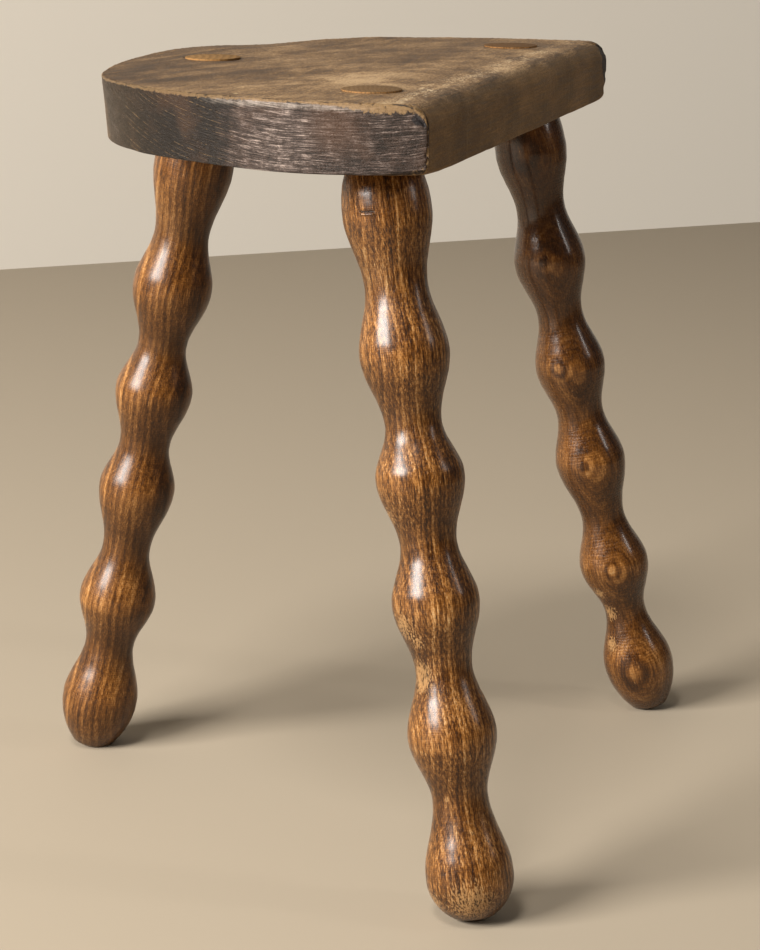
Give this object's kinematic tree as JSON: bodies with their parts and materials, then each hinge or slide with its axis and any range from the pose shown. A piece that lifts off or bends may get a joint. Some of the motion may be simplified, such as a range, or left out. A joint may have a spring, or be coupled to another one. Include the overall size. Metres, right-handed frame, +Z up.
{
  "type": "three-legged stool",
  "caption": "Low three-legged stool with a D-shaped solid plank seat and bobbin-turned splayed legs whose tapered tenons come through the seat.",
  "frame": {"origin": "on the floor, under the middle of the stool's overall plan: on the seat's middle line, midway between the front feet and the back foot", "axes": "+Z up; X runs along the seat's straight front edge, with the front right leg at +X; the straight front edge faces -Y and the single back leg is at +Y"},
  "size_m": [0.4208, 0.372, 0.455],
  "materials": {
    "seat_wood": "waxed, worn dark oak plank",
    "leg_wood": "stained and wax-polished turned wood"
  },
  "bodies": {
    "root": {"seat": "seat_wood", "leg_front_left": "leg_wood", "leg_front_right": "leg_wood", "leg_back": "leg_wood"}
  },
  "joints": []
}
